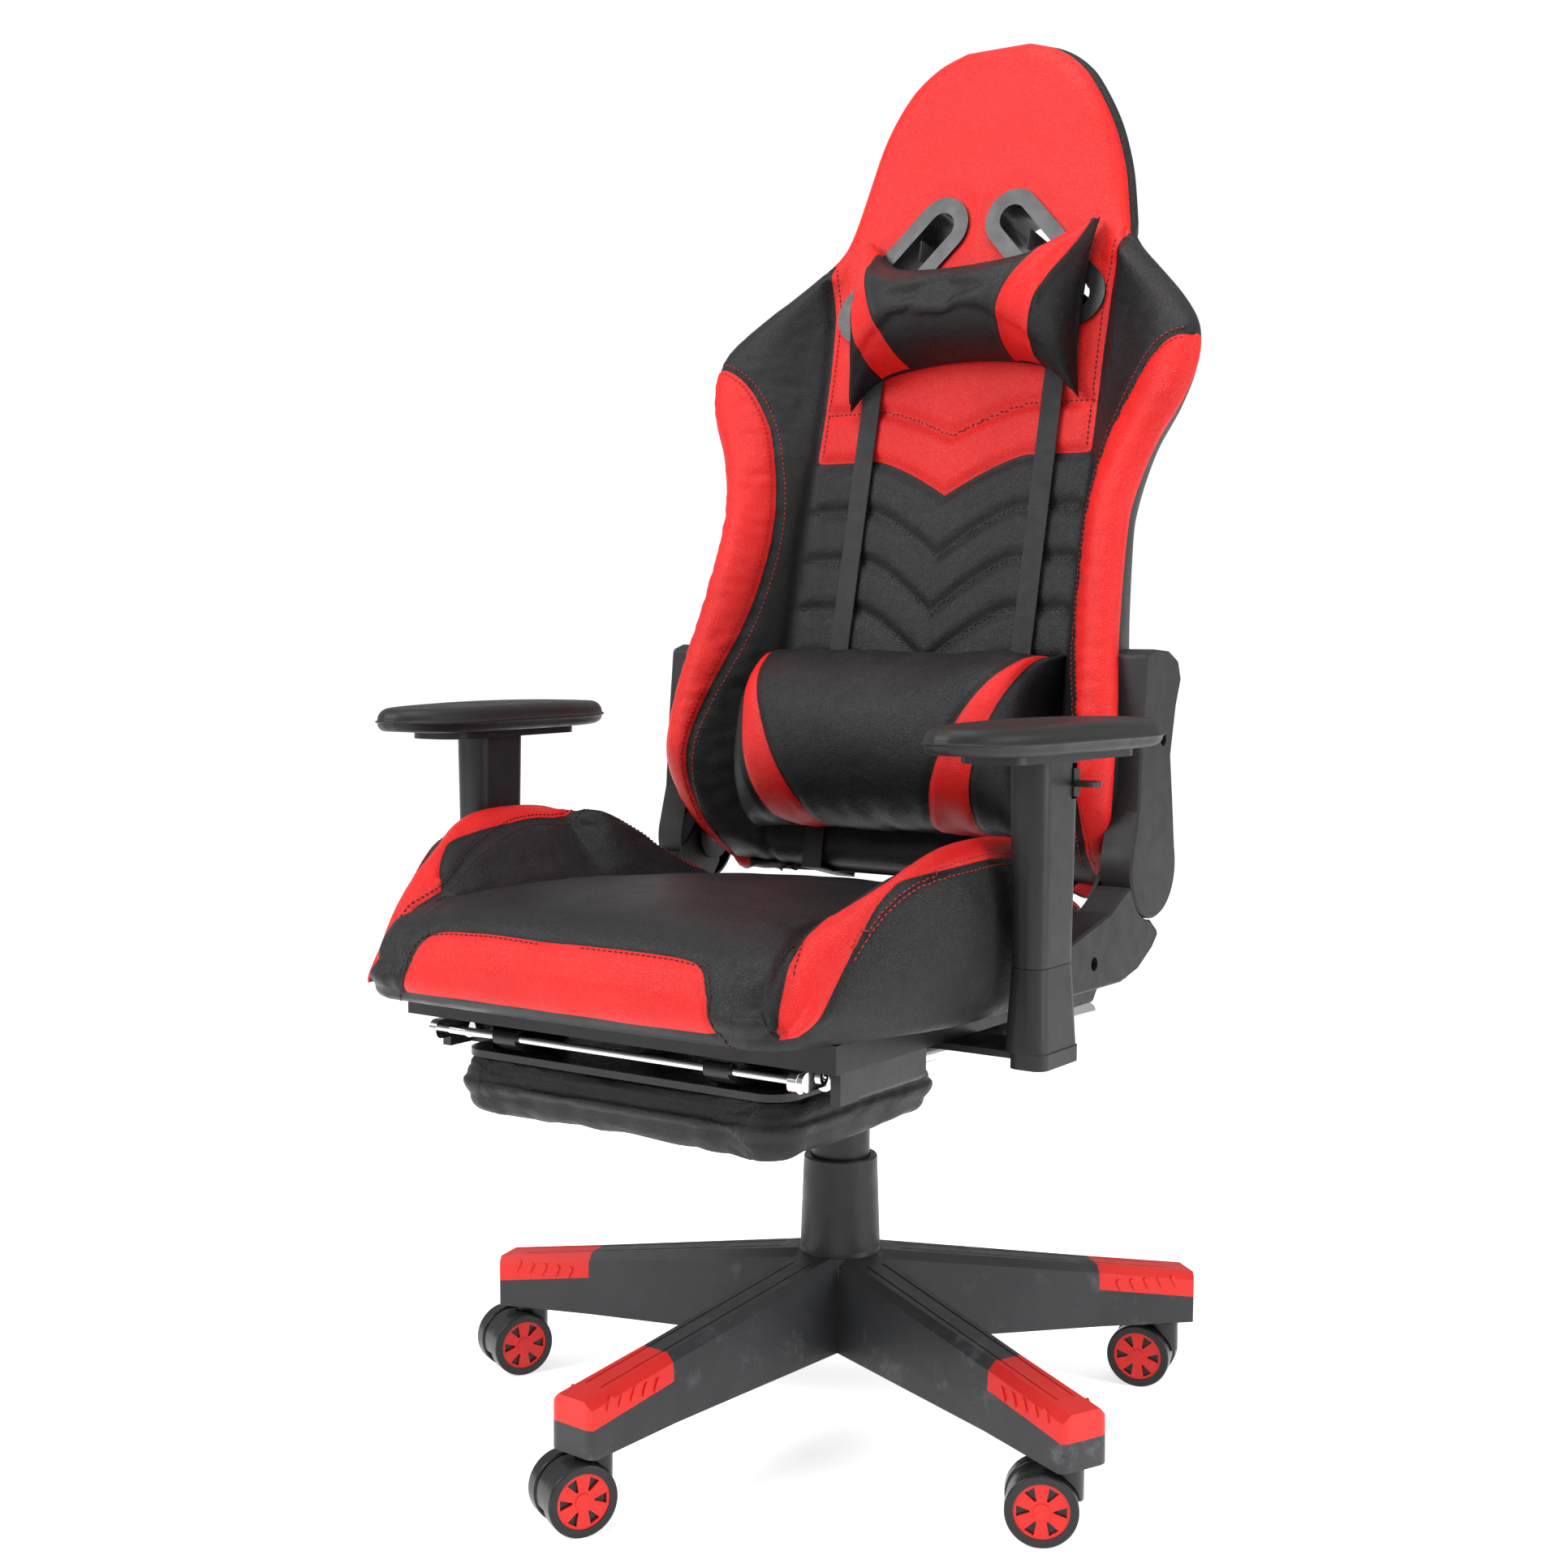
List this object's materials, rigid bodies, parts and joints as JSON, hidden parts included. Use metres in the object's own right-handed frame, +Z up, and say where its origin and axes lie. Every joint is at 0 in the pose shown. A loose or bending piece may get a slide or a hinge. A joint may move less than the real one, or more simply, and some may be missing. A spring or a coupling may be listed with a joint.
{
  "type": "gaming chair",
  "caption": "Reclining bucket-seat gaming chair on a castered star base, with adjustable arms, loose cushions and a pull-out footrest.",
  "frame": {"origin": "on the floor, on the column's axis", "axes": "+Z up, the chair faces -Y, +X is the sitter's left"},
  "size_m": [0.6944, 0.7342, 1.317],
  "materials": {
    "base_nylon": "moulded nylon, faintly scuffed",
    "cap_red": "satin red moulding",
    "caster_black": "moulded nylon",
    "wheel": "black tread with a red spoked rim",
    "steel": "zinc plated",
    "column": "smooth moulded sleeve",
    "gas_black": "black painted steel",
    "chrome": "polished",
    "mechanism": "black powder coat",
    "cover": "fine spark texture",
    "seat_leather": "black and red coated leather",
    "back_leather": "black and red coated leather",
    "cushion_leather": "black with red stripes",
    "foot_leather": "black",
    "arm_plastic": "moulded",
    "arm_pad": "self-skinned foam",
    "webbing": "woven black webbing",
    "board": "black moulded board"
  },
  "bodies": {
    "base": {"star_base": "base_nylon", "leg_caps": "cap_red", "gas_outer_tube": "gas_black", "column_sleeve_lower": "column"},
    "spindle": {"gas_rod": "steel"},
    "lift": {"gas_cylinder": "gas_black", "column_sleeve_upper": "column", "tilt_housing": "mechanism", "tilt_pin": "steel", "tilt_spring": "steel"},
    "knob": {"tension_knob": "cover"},
    "height_lever": {"lift_lever": "mechanism"},
    "seat": {"tilt_plate": "mechanism", "seat_frame": "mechanism", "seat_fasteners": "steel", "seat_cushion": "seat_leather", "footrest_guides": "cover", "hinge_covers_lower": "cover", "recliner_plates_lower": "mechanism", "arm_brackets": "mechanism", "arm_posts": "arm_plastic"},
    "back": {"back_frame": "mechanism", "backrest_shell": "back_leather", "recliner_arms": "mechanism", "back_side_bolts": "steel", "hinge_covers_upper": "cover", "harness_bezels": "cover", "harness_straps": "webbing"},
    "lumbar": {"lumbar_cushion": "cushion_leather"},
    "pillow": {"headrest_pillow": "cushion_leather"},
    "recline_handle": {"recline_lever": "cover"},
    "footrest_slide": {"footrest_frame": "chrome"},
    "footrest_panel": {"footrest_pad": "foot_leather", "footrest_board": "board"},
    "caster_1": {"caster_hood_1": "caster_black", "caster_pins_1": "steel"},
    "roller_1_a": {"wheel_1_a": "wheel"},
    "roller_1_b": {"wheel_1_b": "wheel"},
    "caster_2": {"caster_hood_2": "caster_black", "caster_pins_2": "steel"},
    "roller_2_a": {"wheel_2_a": "wheel"},
    "roller_2_b": {"wheel_2_b": "wheel"},
    "caster_3": {"caster_hood_3": "caster_black", "caster_pins_3": "steel"},
    "roller_3_a": {"wheel_3_a": "wheel"},
    "roller_3_b": {"wheel_3_b": "wheel"},
    "caster_4": {"caster_hood_4": "caster_black", "caster_pins_4": "steel"},
    "roller_4_a": {"wheel_4_a": "wheel"},
    "roller_4_b": {"wheel_4_b": "wheel"},
    "caster_5": {"caster_hood_5": "caster_black", "caster_pins_5": "steel"},
    "roller_5_a": {"wheel_5_a": "wheel"},
    "roller_5_b": {"wheel_5_b": "wheel"},
    "arm_left": {"arm_sleeve_left": "arm_plastic", "arm_pad_left": "arm_pad"},
    "trigger_left": {"arm_trigger_left": "arm_plastic"},
    "arm_right": {"arm_sleeve_right": "arm_plastic", "arm_pad_right": "arm_pad"},
    "trigger_right": {"arm_trigger_right": "arm_plastic"}
  },
  "joints": [
    {"name": "caster_swivel_1", "type": "hinge", "parent": "base", "child": "caster_1", "pos_m": [0.21322, 0.24528, 0.0633], "axis": [0, 0, 1], "continuous": true},
    {"name": "wheel_roll_1_a", "type": "hinge", "parent": "caster_1", "child": "roller_1_a", "pos_m": [0.19568, 0.24123, 0.03], "axis": [-0.225, 0.9744, 0], "continuous": true},
    {"name": "wheel_roll_1_b", "type": "hinge", "parent": "caster_1", "child": "roller_1_b", "pos_m": [0.19568, 0.24123, 0.03], "axis": [-0.225, 0.9744, 0], "continuous": true},
    {"name": "caster_swivel_2", "type": "hinge", "parent": "base", "child": "caster_2", "pos_m": [-0.16739, 0.27858, 0.0633], "axis": [0, 0, 1], "continuous": true},
    {"name": "wheel_roll_2_a", "type": "hinge", "parent": "caster_2", "child": "roller_2_a", "pos_m": [-0.17745, 0.2935, 0.03], "axis": [0.829, 0.5592, 0], "continuous": true},
    {"name": "wheel_roll_2_b", "type": "hinge", "parent": "caster_2", "child": "roller_2_b", "pos_m": [-0.17745, 0.2935, 0.03], "axis": [0.829, 0.5592, 0], "continuous": true},
    {"name": "caster_swivel_3", "type": "hinge", "parent": "base", "child": "caster_3", "pos_m": [-0.31667, -0.07311, 0.0633], "axis": [0, 0, 1], "continuous": true},
    {"name": "wheel_roll_3_a", "type": "hinge", "parent": "caster_3", "child": "roller_3_a", "pos_m": [-0.32428, -0.08942, 0.03], "axis": [-0.9063, 0.4226, 0], "continuous": true},
    {"name": "wheel_roll_3_b", "type": "hinge", "parent": "caster_3", "child": "roller_3_b", "pos_m": [-0.32428, -0.08942, 0.03], "axis": [-0.9063, 0.4226, 0], "continuous": true},
    {"name": "caster_swivel_4", "type": "hinge", "parent": "base", "child": "caster_4", "pos_m": [-0.02833, -0.32376, 0.0633], "axis": [0, 0, 1], "continuous": true},
    {"name": "wheel_roll_4_a", "type": "hinge", "parent": "caster_4", "child": "roller_4_a", "pos_m": [-0.03678, -0.33966, 0.03], "axis": [-0.8829, 0.4695, 0], "continuous": true},
    {"name": "wheel_roll_4_b", "type": "hinge", "parent": "caster_4", "child": "roller_4_b", "pos_m": [-0.03678, -0.33966, 0.03], "axis": [-0.8829, 0.4695, 0], "continuous": true},
    {"name": "caster_swivel_5", "type": "hinge", "parent": "base", "child": "caster_5", "pos_m": [0.29916, -0.12699, 0.0633], "axis": [0, 0, 1], "continuous": true},
    {"name": "wheel_roll_5_a", "type": "hinge", "parent": "caster_5", "child": "roller_5_a", "pos_m": [0.28327, -0.13544, 0.03], "axis": [-0.4695, 0.8829, 0], "continuous": true},
    {"name": "wheel_roll_5_b", "type": "hinge", "parent": "caster_5", "child": "roller_5_b", "pos_m": [0.28327, -0.13544, 0.03], "axis": [-0.4695, 0.8829, 0], "continuous": true},
    {"name": "seat_swivel", "type": "hinge", "parent": "base", "child": "spindle", "pos_m": [0, 0, 0.08], "axis": [0, 0, 1], "continuous": true},
    {"name": "seat_height", "type": "slide", "parent": "spindle", "child": "lift", "axis": [0, 0, 1], "range_m": [-0.055, 0.025]},
    {"name": "tension_turn", "type": "hinge", "parent": "lift", "child": "knob", "pos_m": [0, -0.06, 0.317], "axis": [0, 0, 1], "continuous": true},
    {"name": "height_lever_pull", "type": "hinge", "parent": "lift", "child": "height_lever", "pos_m": [-0.1, -0.032, 0.356], "axis": [-1, 0, 0], "range_deg": [0, 12], "stiffness_Nm_per_rad": 1, "springref_deg": -17.19},
    {"name": "seat_tilt", "type": "hinge", "parent": "lift", "child": "seat", "pos_m": [0, -0.045, 0.368], "axis": [-1, 0, 0], "range_deg": [0, 11], "stiffness_Nm_per_rad": 300, "springref_deg": -8.59},
    {"name": "back_recline", "type": "hinge", "parent": "seat", "child": "back", "pos_m": [0, 0.105, 0.52], "axis": [-1, 0, 0], "range_deg": [-5, 60]},
    {"name": "recline_lever_pull", "type": "hinge", "parent": "seat", "child": "recline_handle", "pos_m": [-0.262, 0.04, 0.463], "axis": [-1, 0, 0], "range_deg": [0, 25], "stiffness_Nm_per_rad": 1, "springref_deg": -14.32},
    {"name": "lumbar_height", "type": "slide", "parent": "back", "child": "lumbar", "axis": [0, 0.225, 0.9744], "range_m": [-0.015, 0.1]},
    {"name": "pillow_height", "type": "slide", "parent": "back", "child": "pillow", "axis": [0, 0.225, 0.9744], "range_m": [-0.04, 0.05]},
    {"name": "footrest_pull", "type": "slide", "parent": "seat", "child": "footrest_slide", "axis": [0, -0.9996, 0.0274], "range_m": [0, 0.25]},
    {"name": "footrest_flip", "type": "hinge", "parent": "footrest_slide", "child": "footrest_panel", "pos_m": [0, -0.335, 0.3945], "axis": [-1, 0, 0], "range_deg": [0, 180]},
    {"name": "arm_height_left", "type": "slide", "parent": "seat", "child": "arm_left", "axis": [0, 0, 1], "range_m": [0, 0.07]},
    {"name": "arm_trigger_press_left", "type": "slide", "parent": "arm_left", "child": "trigger_left", "axis": [0, 0, 1], "range_m": [0, 0.0035], "stiffness_N_per_m": 400, "springref_m": -0.001},
    {"name": "arm_height_right", "type": "slide", "parent": "seat", "child": "arm_right", "axis": [0, 0, 1], "range_m": [0, 0.07]},
    {"name": "arm_trigger_press_right", "type": "slide", "parent": "arm_right", "child": "trigger_right", "axis": [0, 0, 1], "range_m": [0, 0.0035], "stiffness_N_per_m": 400, "springref_m": -0.001}
  ],
  "couplings": [
    {"joint": "footrest_flip", "follows": "footrest_pull", "rad_per_m": 12.56}
  ]
}
